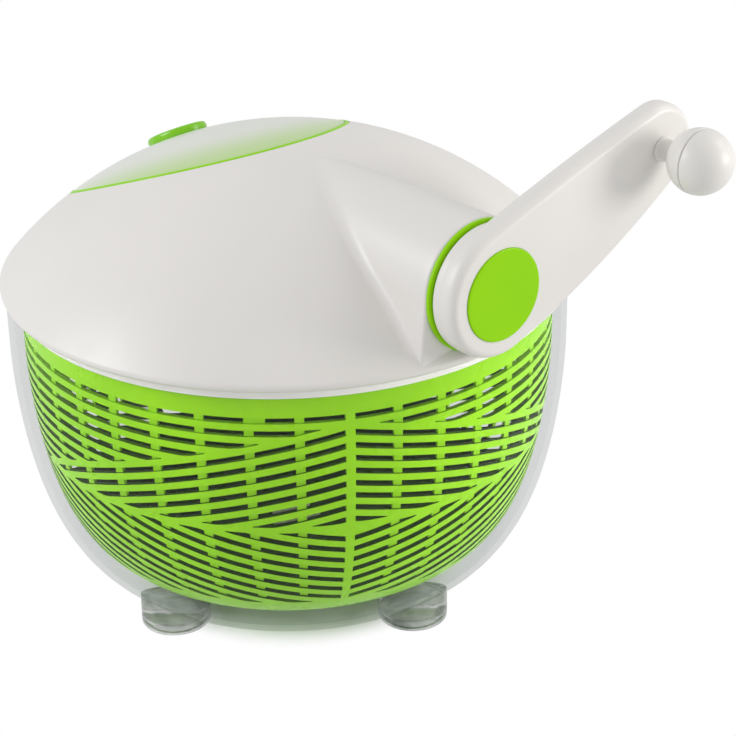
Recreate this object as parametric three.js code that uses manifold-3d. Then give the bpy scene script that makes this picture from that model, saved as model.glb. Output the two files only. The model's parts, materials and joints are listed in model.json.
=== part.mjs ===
// A crank-driven salad spinner: clear bowl, slotted basket, domed lid with an arched drive
// housing, crown gear and pinion, crank arm with a ball knob, and a push-button brake.
// Millimetres, +Z up, +X along the crank's axis. The origin is the centre of the bowl's
// flat underside; the four feet reach below it.
import * as THREE from "three";
import { mergeVertices } from "three/addons/utils/BufferGeometryUtils.js";
import Module from "manifold-3d";

const wasm = await Module();
wasm.setup();

// ---- driving dimensions ---------------------------------------------------------------
const GAP = 0.3; // between pieces that touch
const ROUND = 36; // facets round the bowl, the basket and the lid
const PIN_ROUND = 12; // facets round pins, screws and bushes

const RIM_R = 128; // bowl, outside
const RIM_Z = 147; // where the lid meets the bowl
const BOWL_STRAIGHT_Z = 119; // the bowl's side is upright above this
const BOWL_WALL = 2.6;
const BOWL_FLAT_R = 58;
const FOOT_R = 16;
const FOOT_CIRCLE = 77.8;
const FOOT_TURN = 5; // degrees between the first foot and +X
const FOOT_DROP = 6;

const BASKET_R = 121.4;
const BASKET_FLOOR_Z = 11.5;
const BASKET_TOP_Z = 143;
const BASKET_WALL = 2.3;
const BASKET_SLOTS = 12; // round each row
const BASKET_SLOT_ROWS = [52, 92]; // lowest edge of each row
const SLOT_HEIGHT = 28;
const SLOT_WIDTH = 16;
const TABS = 4; // drive tabs inside the basket's rim
const TAB_TURN = 45; // degrees from +X to the first tab
const TAB_REACH = 12.6;
const TAB_WIDTH = 7;
const BUSH_SEAT_R = 8.3; // hole in the basket's floor

const DOME_R = 172; // outer sphere of the lid
const DOME_CENTRE_Z = 38.1;
const DOME_EDGE_R = 130.2;
const LID_WALL = 2.6;
const SKIRT_R = 124.5;
const SKIRT_WALL = 2;
const SKIRT_DROP = 5.4;
const SKIRT_RISE = 4.5;
const COVER_Z = 144; // underside of the inner cover
const COVER_THICK = 2;
const LEDGE_WIDTH = 4; // under the window's edge
const SCREW_CIRCLE = 100;
const SCREW_ANGLES = [42, 126, 234, 318]; // degrees
const POST_R = 4.5;
const SCREW_HOLE_R = 1.8;

const WINDOW_X = -57;
const WINDOW_R = 64;
const TRIM_WIDTH = 2;

const AXIS_Z = 179; // the crank's axis
const HOUSING_NOSE_X = 29; // where its level ridge leaves the dome
const HOUSING_END_X = 126;
const HOUSING_R = 28.6; // the ridge above the axis, and the half-width at the end
const HOUSING_POINT = 0.1; // power of its plan; smaller is blunter
const HOUSING_DRAFT = 0.09; // sideways, for each millimetre below the axis
const HOUSING_FLOOR_Z = 149.5;
const END_WALL = 3;

const RING_R = 28.6;
const RING_THICK = 1.5;
const ARM_ANGLE = 23.3; // degrees above +Y
const ARM_LENGTH = 100.6;
const ARM_BACK_X = 131.5;
const ARM_FRONT_X = 141.2;
const ARM_BOWS = [1, 3.2]; // how far its upper and lower sides bulge
const HUB_BACK_X = 128.2;
const HUB_R = 28;
const HUB_NECK_R = 27.7;
const TIP_R = 19.3;
const CAP_R = 20;
const CAP_DEPTH = 2.4;
const CAP_RISE = 0.7;
const KNOB_R = 14.2;
const KNOB_X = 162.2;
const KNOB_BORE_R = 3.3;
const NECK_R = 5.5;
const PIN_HEAD_R = 5.2;
const SHAFT_R = 4;
const SHAFT_START_X = 3;
const SHAFT_END_X = 134.7;
const SHAFT_BORE_R = SHAFT_R + 0.2;
const BUSH_R = 9; // outside the crank's outer bush
const INNER_BUSH_R = 7;
const BRACKET_X = 23; // the shaft's inner bearing
const BRACKET_THICK = 4;
const BRACKET_SCREWS = [-15, 15]; // across the crank's axis
const BRACKET_SCREW_X = 35;

const GEAR_MODULE = 1.1;
const CROWN_TEETH = 40;
const PINION_TEETH = 12;
const TOOTH_SHARE = 0.36; // of the pitch, at the pitch line; the rest is space
const CROWN_FACE = 3;
const CROWN_WEB_X = 8;
const PINION_Z = 153;
const PINION_HEIGHT = 8;

const SPINDLE_R = 3;
const DISC_R = 113;
const DISC_Z = 134;
const DISC_THICK = 3;
const DISC_HOLES = 6;
const DISC_HOLE_R = 12;
const DISC_HOLE_CIRCLE = 48;

const BUTTON_X = -81;
const BUTTON_R = 14;
const BUTTON_RISE = 3.5;
const BUTTON_WALL = 3.4; // below the lid's own wall
const BRAKE_TRAVEL = 4;
const PAD_R = 7;
const PAD_THICK = 2.4;
const PAD_Z = DISC_Z + DISC_THICK + BRAKE_TRAVEL + 0.2;
const STEM_R = 3.5;
const COLLAR_Z = 172;

// ---- materials ------------------------------------------------------------------------
const finish = (color, roughness, metalness = 0, opacity = 1) =>
  new THREE.MeshStandardMaterial({
    color,
    roughness,
    metalness,
    opacity,
    transparent: opacity < 1,
  });
const materials = {
  clear: () => finish(0xe8ecee, 0.08, 0, 0.3),
  green: () => finish(0x86c81e, 0.35),
  cap: () => finish(0x8bcd00, 0.4),
  white: () => finish(0xe2deda, 0.38),
  frosted: () => finish(0xdfe9cf, 0.4, 0, 0.8),
  rubber: () => finish(0xb9bcbd, 0.6),
  acetal: () => finish(0xf2efe6, 0.45),
  steel: () => finish(0xb8babd, 0.3, 1),
};

// ---- solids ---------------------------------------------------------------------------
const radians = THREE.MathUtils.degToRad;

function solid(geometry) {
  const flat = geometry.index ? geometry.toNonIndexed() : geometry.clone();
  flat.deleteAttribute("normal");
  flat.deleteAttribute("uv");
  const merged = mergeVertices(flat, 1e-4);
  const made = new wasm.Manifold(
    new wasm.Mesh({
      numProp: 3,
      vertProperties: new Float32Array(merged.attributes.position.array),
      triVerts: new Uint32Array(merged.index.array),
    }),
  );
  if (made.volume() > 0) return made;
  const flipped = merged.index.array.slice();
  for (let i = 0; i < flipped.length; i += 3) {
    [flipped[i + 1], flipped[i + 2]] = [flipped[i + 2], flipped[i + 1]];
  }
  return new wasm.Manifold(
    new wasm.Mesh({
      numProp: 3,
      vertProperties: new Float32Array(merged.attributes.position.array),
      triVerts: new Uint32Array(flipped),
    }),
  );
}

function geometryOf(manifold) {
  const mesh = manifold.getMesh();
  const geometry = new THREE.BufferGeometry();
  geometry.setAttribute(
    "position",
    new THREE.BufferAttribute(new Float32Array(mesh.vertProperties), 3),
  );
  geometry.setIndex(new THREE.BufferAttribute(new Uint32Array(mesh.triVerts), 1));
  const flat = geometry.toNonIndexed();
  flat.computeVertexNormals();
  return flat;
}

function piece(name, shape, material) {
  const mesh = new THREE.Mesh(geometryOf(shape), material);
  mesh.name = name;
  return mesh;
}

const joined = (first, ...rest) => rest.reduce((all, next) => all.add(next), first);
const cutBy = (first, ...rest) => rest.reduce((all, next) => all.subtract(next), first);

// A solid of revolution about Z from [radius, height] pairs.
function turned(profile, facets = ROUND) {
  const points = profile.map(([r, z]) => new THREE.Vector2(Math.max(r, 0), z));
  const [first, last] = [points[0], points.at(-1)];
  if (first.x > 0 || last.x > 0) points.push(first.clone());
  return solid(new THREE.LatheGeometry(points, facets).rotateX(Math.PI / 2));
}

const bar = (r, z0, z1, facets = PIN_ROUND) =>
  turned([[0, z0], [r, z0], [r, z1], [0, z1]], facets);
const tube = (inner, outer, z0, z1, facets = PIN_ROUND) =>
  turned([[inner, z0], [outer, z0], [outer, z1], [inner, z1]], facets);

// Z becomes +X, with the shape's own z = 0 on the bowl's axis.
function alongX(shape, height = AXIS_Z) {
  const geometry = geometryOf(shape).rotateY(Math.PI / 2).translate(0, 0, height);
  return solid(geometry);
}

const moved = (shape, x, y, z = 0) => solid(geometryOf(shape).translate(x, y, z));
const spun = (shape, degrees) => solid(geometryOf(shape).rotateZ(radians(degrees)));
const onCircle = (radius, degrees) => [
  radius * Math.cos(radians(degrees)),
  radius * Math.sin(radians(degrees)),
];
const block = (x0, x1, y0, y1, z0, z1) =>
  solid(
    new THREE.BoxGeometry(x1 - x0, y1 - y0, z1 - z0).translate(
      (x0 + x1) / 2,
      (y0 + y1) / 2,
      (z0 + z1) / 2,
    ),
  );

// A closed skin over rings of points, each ring convex enough for a fan cap.
function lofted(rings) {
  const count = rings[0].length;
  const positions = rings.flat().flatMap((p) => [p.x, p.y, p.z]);
  const index = [];
  for (let k = 0; k < rings.length - 1; k++) {
    for (let i = 0; i < count; i++) {
      const [a, b] = [k * count + i, k * count + ((i + 1) % count)];
      index.push(a, b, b + count, a, b + count, a + count);
    }
  }
  const top = (rings.length - 1) * count;
  for (let i = 1; i < count - 1; i++) {
    index.push(0, i + 1, i, top, top + i, top + i + 1);
  }
  const geometry = new THREE.BufferGeometry();
  geometry.setAttribute("position", new THREE.Float32BufferAttribute(positions, 3));
  geometry.setIndex(index);
  return solid(geometry);
}

// ---- bowl -----------------------------------------------------------------------------
const wallCurve = (top, straightZ, floorZ, power) => (z) => {
  const depth = Math.min(Math.max((straightZ - z) / (straightZ - floorZ), 0), 1);
  return top * (1 - depth ** 1.8) ** (1 / power);
};
const bowlRadius = wallCurve(RIM_R, BOWL_STRAIGHT_Z, 0, 6);
const basketRadius = wallCurve(BASKET_R, BOWL_STRAIGHT_Z, BASKET_FLOOR_Z, 7);
const BOWL_LEVELS = [1.2, 4.5, 11, 21, 36, 56, 84, BOWL_STRAIGHT_Z];

function bowlOutline(extra = 0) {
  const side = BOWL_LEVELS.map((z) => [bowlRadius(z) + extra, z - extra]);
  return [[0, -extra], [BOWL_FLAT_R, -extra], ...side, [RIM_R + extra, RIM_Z - GAP]];
}

function bowl() {
  const inside = BOWL_LEVELS.map((z) => [bowlRadius(z) - BOWL_WALL, z + BOWL_WALL]);
  const outline = [
    ...bowlOutline(),
    [RIM_R - BOWL_WALL, RIM_Z - GAP],
    ...inside.reverse(),
    [BOWL_FLAT_R - BOWL_WALL, BOWL_WALL],
    [0, BOWL_WALL],
  ];
  return piece("bowl", turned(outline), materials.clear());
}

function foot(number) {
  const room = turned([...bowlOutline(GAP), [0, RIM_Z]]);
  const outline = [
    [0, -FOOT_DROP],
    [FOOT_R - 1, -FOOT_DROP],
    [FOOT_R, -FOOT_DROP + 1],
    [FOOT_R, 12],
    [0, 12],
  ];
  const [x, y] = onCircle(FOOT_CIRCLE, FOOT_TURN + 90 * (number - 1));
  return piece(`foot_${number}`, cutBy(moved(turned(outline, 16), x, y), room), materials.rubber());
}

function pivotPin() {
  const floor = BOWL_WALL + GAP;
  const outline = [
    [0, floor], [14, floor], [14, 4.4], [6, 5.4], [4, 7], [4, 16], [2.5, 17.5], [0, 17.5],
  ];
  return piece("pivot_pin", turned(outline, PIN_ROUND), materials.steel());
}

// ---- basket ---------------------------------------------------------------------------
const BASKET_LEVELS = [12, 15, 22, 34, 50, 84, BOWL_STRAIGHT_Z];

function basketShell() {
  const outside = BASKET_LEVELS.map((z) => [basketRadius(z), z]);
  const inside = BASKET_LEVELS.map((z) => [basketRadius(z) - BASKET_WALL, z + BASKET_WALL]);
  return turned([
    [BUSH_SEAT_R, BASKET_FLOOR_Z],
    ...outside,
    [BASKET_R, BASKET_TOP_Z],
    [BASKET_R - BASKET_WALL, BASKET_TOP_Z],
    ...inside.reverse(),
    [BUSH_SEAT_R, BASKET_FLOOR_Z + BASKET_WALL],
  ]);
}

function basket() {
  let shell = basketShell();
  for (let k = 0; k < TABS; k++) {
    const tab = block(BASKET_R - TAB_REACH, BASKET_R - 1, -TAB_WIDTH / 2, TAB_WIDTH / 2, 128, 140);
    shell = shell.add(spun(tab, (360 / TABS) * k + TAB_TURN));
  }
  const slots = [];
  for (const low of BASKET_SLOT_ROWS) {
    for (let k = 0; k < BASKET_SLOTS / 2; k++) {
      const half = SLOT_WIDTH / 2;
      const slot = block(-BASKET_R - 5, BASKET_R + 5, -half, half, low, low + SLOT_HEIGHT);
      slots.push(spun(slot, (360 / BASKET_SLOTS) * (k + 0.5)));
    }
  }
  return piece("basket", cutBy(shell, ...slots), materials.green());
}

function basketBush() {
  const floor = BASKET_FLOOR_Z + BASKET_WALL + GAP;
  const outline = [
    [4.3, 8], [8, 8], [8, floor], [12, floor], [12, floor + 2], [8, floor + 2],
    [7, 22], [0, 22], [0, 18], [4.3, 18],
  ];
  return piece("basket_bush", turned(outline, PIN_ROUND), materials.acetal());
}

// ---- lid ------------------------------------------------------------------------------
const domeZ = (radius, r) => DOME_CENTRE_Z + Math.sqrt(radius * radius - r * r);

// The solid under a sphere that shares the dome's centre, down to a floor.
function underDome(radius, reach = DOME_EDGE_R, floor = RIM_Z - 20, steps = 7) {
  const widest = Math.asin(reach / radius);
  const arc = [];
  for (let k = 0; k <= steps; k++) {
    const angle = widest * (1 - k / steps);
    arc.push([radius * Math.sin(angle), DOME_CENTRE_Z + radius * Math.cos(angle)]);
  }
  arc[steps][0] = 0;
  return turned([[0, floor], [arc[0][0], floor], ...arc]);
}

const domeShell = () => cutBy(underDome(DOME_R), underDome(DOME_R - LID_WALL, SKIRT_R));
const pillar = (x, r, facets = 36) => moved(bar(r, RIM_Z - 30, 230, facets), x, 0, 0);

// A section of the drive housing: half an ellipse on sides that spread downwards.
function arch(x, inset, floorZ) {
  const share = (x - HOUSING_NOSE_X) / (HOUSING_END_X - HOUSING_NOSE_X);
  const halfWidth = HOUSING_R * Math.max(share, 0.004) ** HOUSING_POINT - inset;
  const foot = halfWidth + HOUSING_DRAFT * (AXIS_Z - floorZ);
  const points = [new THREE.Vector3(x, -foot, floorZ)];
  for (let k = 0; k <= 12; k++) {
    const angle = Math.PI - (Math.PI * k) / 12;
    const y = halfWidth * Math.cos(angle);
    const z = AXIS_Z + (HOUSING_R - inset) * Math.sin(angle);
    points.push(new THREE.Vector3(x, y, z));
  }
  points.push(new THREE.Vector3(x, foot, floorZ));
  return points;
}

function housing(inset, endX, floorZ) {
  const stations = [HOUSING_NOSE_X - 1 + inset, 34, 44, 62, 90, endX];
  return lofted(stations.map((x) => arch(x, inset, floorZ)));
}

function lidShell() {
  const edgeZ = domeZ(DOME_R, DOME_EDGE_R);
  const arc = [];
  for (let k = 0; k <= 7; k++) {
    const angle = Math.asin(DOME_EDGE_R / DOME_R) * (1 - k / 7);
    arc.push([DOME_R * Math.sin(angle), DOME_CENTRE_Z + DOME_R * Math.cos(angle)]);
  }
  arc[7][0] = 0;
  const outside = turned([[0, RIM_Z], [RIM_R, RIM_Z], [DOME_EDGE_R - 0.6, edgeZ - 2], ...arc]);
  const inside = underDome(DOME_R - LID_WALL, SKIRT_R + GAP);
  const posts = SCREW_ANGLES.map((angle) => {
    const post = cutBy(bar(POST_R, COVER_Z + COVER_THICK + GAP, 178), bar(SCREW_HOLE_R, 140, 158));
    return moved(post, ...onCircle(SCREW_CIRCLE, angle)).intersect(underDome(DOME_R - 1));
  });
  const ledge = cutBy(
    underDome(DOME_R - LID_WALL + 0.4),
    underDome(DOME_R - 2 * LID_WALL),
    pillar(WINDOW_X, WINDOW_R - LEDGE_WIDTH),
  )
    .intersect(pillar(WINDOW_X, WINDOW_R + 6))
    .intersect(bar(SKIRT_R - 3, RIM_Z + 2, 220, ROUND));
  const shell = cutBy(
    joined(outside, housing(0, HOUSING_END_X, HOUSING_FLOOR_Z)),
    inside,
    housing(LID_WALL, HOUSING_END_X - END_WALL, HOUSING_FLOOR_Z + 0.6),
    pillar(WINDOW_X, WINDOW_R + TRIM_WIDTH + 2 * GAP),
    alongX(bar(BUSH_R + GAP, HOUSING_END_X - 10, HOUSING_END_X + 5)),
  );
  return piece("lid_shell", joined(shell, ledge, ...posts), materials.white());
}

function windowPieces() {
  const glass = cutBy(
    domeShell().intersect(pillar(WINDOW_X, WINDOW_R)),
    pillar(BUTTON_X, BUTTON_R + 0.6, 20),
    underDome(DOME_R - LID_WALL + 0.4 + GAP),
  );
  const trim = cutBy(
    domeShell().intersect(pillar(WINDOW_X, WINDOW_R + GAP + TRIM_WIDTH)),
    pillar(WINDOW_X, WINDOW_R + GAP),
    underDome(DOME_R - LID_WALL + 0.4 + GAP),
  );
  return [
    piece("window", glass, materials.frosted()),
    piece("window_trim", trim, materials.green()),
  ];
}

function lidSkirt() {
  const ring = tube(SKIRT_R - SKIRT_WALL, SKIRT_R, RIM_Z - SKIRT_DROP, RIM_Z + SKIRT_RISE, ROUND);
  return piece("lid_skirt", ring, materials.white());
}

function innerCover() {
  const top = COVER_Z + COVER_THICK;
  const plate = tube(6.3, SKIRT_R - SKIRT_WALL - GAP, COVER_Z, top, ROUND);
  const drill = (radius, x, y) => moved(bar(radius, COVER_Z - 1, top + 1), x, y);
  const holes = [
    ...SCREW_ANGLES.map((angle) => drill(SCREW_HOLE_R + 0.1, ...onCircle(SCREW_CIRCLE, angle))),
    ...BRACKET_SCREWS.map((y) => drill(SCREW_HOLE_R + 0.1, BRACKET_SCREW_X, y)),
    drill(STEM_R + 0.5, BUTTON_X, 0),
  ];
  return piece("inner_cover", cutBy(plate, ...holes), materials.white());
}

function screw(name, x, y, z, length) {
  const outline = [
    [0, -2], [3, -2], [3.5, -1.2], [3.5, -GAP], [1.5, -GAP], [1.5, length], [0, length],
  ];
  const mesh = piece(name, turned(outline, PIN_ROUND), materials.steel());
  mesh.position.set(x, y, z);
  return mesh;
}

function lidScrews() {
  const round = SCREW_ANGLES.map((angle, k) =>
    screw(`cover_screw_${k + 1}`, ...onCircle(SCREW_CIRCLE, angle), COVER_Z, 12),
  );
  const straight = BRACKET_SCREWS.map((y, k) =>
    screw(`bracket_screw_${k + 1}`, BRACKET_SCREW_X, y, COVER_Z, 8),
  );
  return [...round, ...straight];
}

// The inner bearing of the crank's shaft stands on the inner cover.
function bearingBracket() {
  const floor = COVER_Z + COVER_THICK + GAP;
  const upright = joined(
    block(BRACKET_X, BRACKET_X + BRACKET_THICK, -13, 13, floor, AXIS_Z),
    alongX(bar(13, BRACKET_X, BRACKET_X + BRACKET_THICK, 24)),
  );
  const base = block(BRACKET_X, BRACKET_X + 18, -20, 20, floor, floor + 8);
  const holes = BRACKET_SCREWS.map((y) =>
    moved(bar(SCREW_HOLE_R, 140, floor + 7), BRACKET_SCREW_X, y),
  );
  const bore = alongX(bar(INNER_BUSH_R + 0.2, BRACKET_X - 5, BRACKET_X + 9));
  return piece("bearing_bracket", cutBy(joined(upright, base), ...holes, bore), materials.white());
}

const flangedBush = (inner, outer, flange, z0, step, z1) =>
  turned(
    [[inner, z0], [flange, z0], [flange, step], [outer, step], [outer, z1], [inner, z1]],
    PIN_ROUND,
  );

function bushes() {
  const bore = SHAFT_R + 0.25;
  const wall = HOUSING_END_X - END_WALL - GAP;
  const seat = BRACKET_X - GAP;
  const outer = alongX(flangedBush(bore, BUSH_R, 12, wall - 2.5, wall, HOUSING_END_X + 1.8));
  const inner = alongX(flangedBush(bore, INNER_BUSH_R, 9.5, seat - 2, seat, BRACKET_X + 5));
  const lower = flangedBush(SPINDLE_R + 0.2, 6, 9, COVER_Z - GAP - 2, COVER_Z - GAP, 151.6);
  return [
    piece("crank_bush", outer, materials.acetal()),
    piece("bracket_bush", inner, materials.acetal()),
    piece("spindle_bush", lower, materials.acetal()),
  ];
}

function crankRing() {
  const back = HOUSING_END_X + GAP;
  const ring = alongX(tube(BUSH_R + 0.6, RING_R, back, back + RING_THICK, 32));
  return piece("crank_ring", cutBy(ring, underDome(DOME_R + GAP, DOME_EDGE_R)), materials.cap());
}

// ---- crank ----------------------------------------------------------------------------
// The arm's outline: two end circles joined by slightly bowed sides.
function armOutline(x, inset) {
  const lean = Math.asin((HUB_R - TIP_R) / ARM_LENGTH);
  const direction = radians(ARM_ANGLE);
  const outline = [];
  const end = (along, radius, from, to, steps) => {
    for (let k = 0; k <= steps; k++) {
      const angle = from + ((to - from) * k) / steps;
      const [u, v] = [Math.cos(angle), Math.sin(angle)].map((part) => (radius - inset) * part);
      outline.push([along + u, v]);
    }
  };
  const side = Math.PI / 2 - lean;
  const bowed = (sign, bow) =>
    [0.2, 0.4, 0.6, 0.8].map((t) => {
      const width = HUB_R + (TIP_R - HUB_R) * t + 4 * bow * t * (1 - t) - inset;
      return [ARM_LENGTH * t, sign * width];
    });
  end(0, HUB_R, side, 2 * Math.PI - side, 14);
  outline.push(...bowed(-1, ARM_BOWS[1]));
  end(ARM_LENGTH, TIP_R, -side, side, 8);
  outline.push(...bowed(1, ARM_BOWS[0]).reverse());
  const [c, s] = [Math.cos(direction), Math.sin(direction)];
  return outline.map(([u, v]) => new THREE.Vector3(x, u * c - v * s, AXIS_Z + u * s + v * c));
}

const tip = () => {
  const angle = radians(ARM_ANGLE);
  return [ARM_LENGTH * Math.cos(angle), AXIS_Z + ARM_LENGTH * Math.sin(angle)];
};

function atTip(shape) {
  const [y, z] = tip();
  return solid(geometryOf(alongX(shape, 0)).translate(0, y, z));
}

function crankArm() {
  const body = lofted([
    armOutline(ARM_BACK_X, 1.5),
    armOutline(ARM_BACK_X + 1.5, 0),
    armOutline(ARM_FRONT_X - 4, 0),
    armOutline(ARM_FRONT_X - 1.2, 1.4),
    armOutline(ARM_FRONT_X, 3.6),
  ]);
  const neck = [
    [0, HUB_BACK_X],
    [HUB_NECK_R - 1.2, HUB_BACK_X],
    [HUB_NECK_R, HUB_BACK_X + 1.2],
    [HUB_NECK_R, ARM_BACK_X + 2.5],
    [0, ARM_BACK_X + 2.5],
  ];
  const hub = alongX(turned(neck, 32));
  const bores = [
    alongX(bar(SHAFT_BORE_R, HUB_BACK_X - 5, SHAFT_END_X + 3)),
    alongX(bar(CAP_R + GAP, ARM_FRONT_X - CAP_DEPTH, ARM_FRONT_X + 5, 28)),
    alongX(bar(5.2, SHAFT_END_X, ARM_FRONT_X)),
    atTip(bar(KNOB_BORE_R, ARM_BACK_X - 5, ARM_FRONT_X + 5)),
    atTip(bar(PIN_HEAD_R + 0.4, ARM_BACK_X - 5, ARM_BACK_X + 2.4)),
  ];
  return piece("crank_arm", cutBy(joined(body, hub), ...bores), materials.white());
}

function crankCap() {
  const seat = ARM_FRONT_X - CAP_DEPTH + GAP;
  const face = ARM_FRONT_X + CAP_RISE;
  const outline = [[0, seat], [CAP_R, seat], [CAP_R, face - 0.8], [CAP_R - 0.8, face], [0, face]];
  return piece("crank_cap", alongX(turned(outline, 28)), materials.cap());
}

function crankShaft() {
  const core = cutBy(bar(SHAFT_R, SHAFT_START_X, SHAFT_END_X), bar(1.8, SHAFT_END_X - 14, 150));
  return piece("crank_shaft", alongX(core), materials.steel());
}

function crankScrew() {
  const seat = SHAFT_END_X + GAP;
  const outline = [
    [0, seat - 12], [1.5, seat - 12], [1.5, seat], [4.6, seat], [4.6, seat + 2.6], [0, seat + 2.6],
  ];
  return piece("crank_screw", alongX(turned(outline, PIN_ROUND)), materials.steel());
}

function thrustWasher() {
  const x = HOUSING_END_X - END_WALL - GAP - 2.5;
  return piece("thrust_washer", alongX(tube(SHAFT_BORE_R, 8, x - 1.8, x - GAP)), materials.steel());
}

function crownGear() {
  const pitchR = (GEAR_MODULE * CROWN_TEETH) / 2;
  const pitchX = (GEAR_MODULE * PINION_TEETH) / 2;
  const pitch = Math.PI * GEAR_MODULE;
  const [tipX, rootX] = [pitchX - 0.9 * GEAR_MODULE, CROWN_WEB_X];
  const tan = Math.tan(radians(20));
  const halfAt = (x) => (pitch * TOOTH_SHARE) / 2 + (x - pitchX) * tan;
  const [inner, outer] = [pitchR - CROWN_FACE / 2, pitchR + CROWN_FACE / 2];
  const blank = joined(
    tube(SHAFT_BORE_R, 8, rootX, 19, PIN_ROUND),
    tube(SHAFT_BORE_R, outer + 0.4, rootX, rootX + 3, 24),
  );
  const teeth = [];
  for (let k = 0; k < CROWN_TEETH; k++) {
    const section = (r) =>
      [
        [tipX, -halfAt(tipX)],
        [tipX, halfAt(tipX)],
        [rootX + 0.5, halfAt(rootX)],
        [rootX + 0.5, -halfAt(rootX)],
      ].map(([x, y]) => new THREE.Vector3(r, y, x));
    const tooth = lofted([section(inner), section(outer)]);
    teeth.push(spun(tooth, (360 * k) / CROWN_TEETH));
  }
  return piece("crown_gear", alongX(joined(blank, ...teeth)), materials.acetal());
}

function shaftClip() {
  return piece("shaft_clip", alongX(tube(SHAFT_BORE_R, 7, 6, CROWN_WEB_X - GAP)), materials.steel());
}

function knobPin() {
  const [radius, head] = [KNOB_BORE_R - GAP, ARM_BACK_X + GAP];
  const outline = [
    [0, head], [PIN_HEAD_R, head], [PIN_HEAD_R, head + 1.8], [radius, head + 1.8],
    [radius, KNOB_X + 7], [0, KNOB_X + 7],
  ];
  const neck = tube(radius - 0.4, NECK_R, ARM_FRONT_X + GAP, KNOB_X - KNOB_R + 0.4);
  return piece("knob_pin", atTip(joined(turned(outline, PIN_ROUND), neck)), materials.white());
}

// One half of the ball; side is 1 for the outer half and -1 for the half next to the arm.
function knobHalf(name, side) {
  const steps = 6;
  const split = side * (GAP / 2);
  const start = side > 0 ? 0 : Math.asin((KNOB_BORE_R + 1.5) / KNOB_R);
  const curve = [];
  for (let k = 0; k < steps; k++) {
    const angle = start + ((Math.PI / 2 - start) * k) / steps;
    curve.push([KNOB_R * Math.sin(angle), side * KNOB_R * Math.cos(angle)]);
  }
  const hollow = side > 0 ? [[KNOB_BORE_R, 8], [0, 8]] : [[KNOB_BORE_R, curve[0][1]]];
  const outline = [...curve, [KNOB_R, split], [KNOB_BORE_R, split], ...hollow];
  const placed = outline.map(([r, x]) => [r, KNOB_X + x]);
  return piece(name, atTip(turned(placed, 20)), materials.white());
}

// ---- spindle --------------------------------------------------------------------------
function spindle() {
  const low = DISC_Z - 3;
  const rod = bar(SPINDLE_R, low, PINION_Z + PINION_HEIGHT + 1.5);
  const core = cutBy(rod, bar(1.4, low - 1, low + 12));
  return piece("spindle", core, materials.steel());
}

function pinion() {
  const pitchR = (GEAR_MODULE * PINION_TEETH) / 2;
  const pitchAngle = (2 * Math.PI) / PINION_TEETH;
  const levels = [
    [pitchR - 1.2 * GEAR_MODULE, 0.56],
    [pitchR - 0.5 * GEAR_MODULE, 0.46],
    [pitchR, TOOTH_SHARE],
    [pitchR + 0.5 * GEAR_MODULE, 0.25],
    [pitchR + 0.9 * GEAR_MODULE, 0.15],
  ];
  const outline = new THREE.Shape();
  const corner = (r, angle) => new THREE.Vector2(r * Math.cos(angle), r * Math.sin(angle));
  const points = [];
  for (let k = 0; k < PINION_TEETH; k++) {
    const middle = (k + 0.5) * pitchAngle;
    const flank = (side) =>
      levels.map(([r, share]) => corner(r, middle + (side * share * pitchAngle) / 2));
    points.push(...flank(-1), ...flank(1).reverse());
  }
  outline.setFromPoints(points);
  outline.holes.push(new THREE.Path().absarc(0, 0, SPINDLE_R + 0.2, 0, 2 * Math.PI, true));
  const geometry = new THREE.ExtrudeGeometry(outline, {
    depth: PINION_HEIGHT,
    bevelEnabled: false,
    curveSegments: 8,
  }).translate(0, 0, PINION_Z);
  return piece("pinion", solid(geometry), materials.acetal());
}

function driveDisc() {
  const hub = tube(SPINDLE_R + 0.2, 10, DISC_Z - 2.5, COVER_Z - 3.2);
  const plate = tube(9, DISC_R, DISC_Z, DISC_Z + DISC_THICK, ROUND);
  const cuts = [];
  for (let k = 0; k < TABS; k++) {
    const half = TAB_WIDTH / 2 + 0.8;
    const notch = block(DISC_R - 5, DISC_R + 5, -half, half, DISC_Z - 1, DISC_Z + 9);
    cuts.push(spun(notch, (360 / TABS) * k + TAB_TURN));
  }
  for (let k = 0; k < DISC_HOLES; k++) {
    const place = onCircle(DISC_HOLE_CIRCLE, (360 * (k + 0.5)) / DISC_HOLES);
    cuts.push(moved(bar(DISC_HOLE_R, DISC_Z - 1, DISC_Z + 9), ...place));
  }
  return piece("drive_disc", cutBy(joined(plate, hub), ...cuts), materials.white());
}

function discScrew() {
  const seat = DISC_Z - 3 - GAP;
  const outline = [
    [0, seat - 2.4], [6, seat - 2.4], [6, seat], [1.1, seat], [1.1, seat + 9], [0, seat + 9],
  ];
  return piece("disc_screw", turned(outline, PIN_ROUND), materials.steel());
}

// ---- brake ----------------------------------------------------------------------------
const brakeRoof = (radius) => underDome(radius, -BUTTON_X + 2 * BUTTON_R + 3);

function brakeButton() {
  const room = brakeRoof(DOME_R - LID_WALL - BUTTON_WALL);
  const cap = brakeRoof(DOME_R + BUTTON_RISE).intersect(pillar(BUTTON_X, BUTTON_R, 20));
  const flange = brakeRoof(DOME_R - LID_WALL - 1).intersect(pillar(BUTTON_X, BUTTON_R + 2.5, 20));
  return piece("brake_button", joined(cutBy(cap, room), cutBy(flange, room)), materials.green());
}

function brakeStem() {
  const roof = brakeRoof(DOME_R - LID_WALL - BUTTON_WALL - GAP);
  const rod = bar(STEM_R, PAD_Z + PAD_THICK + GAP, 200);
  const stem = joined(rod, bar(PAD_R, COLLAR_Z, COLLAR_Z + 2));
  return piece("brake_stem", moved(stem, BUTTON_X, 0).intersect(roof), materials.acetal());
}

function brakePad() {
  const pad = moved(bar(PAD_R, PAD_Z, PAD_Z + PAD_THICK, 20), BUTTON_X, 0);
  return piece("brake_pad", pad, materials.rubber());
}

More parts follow.
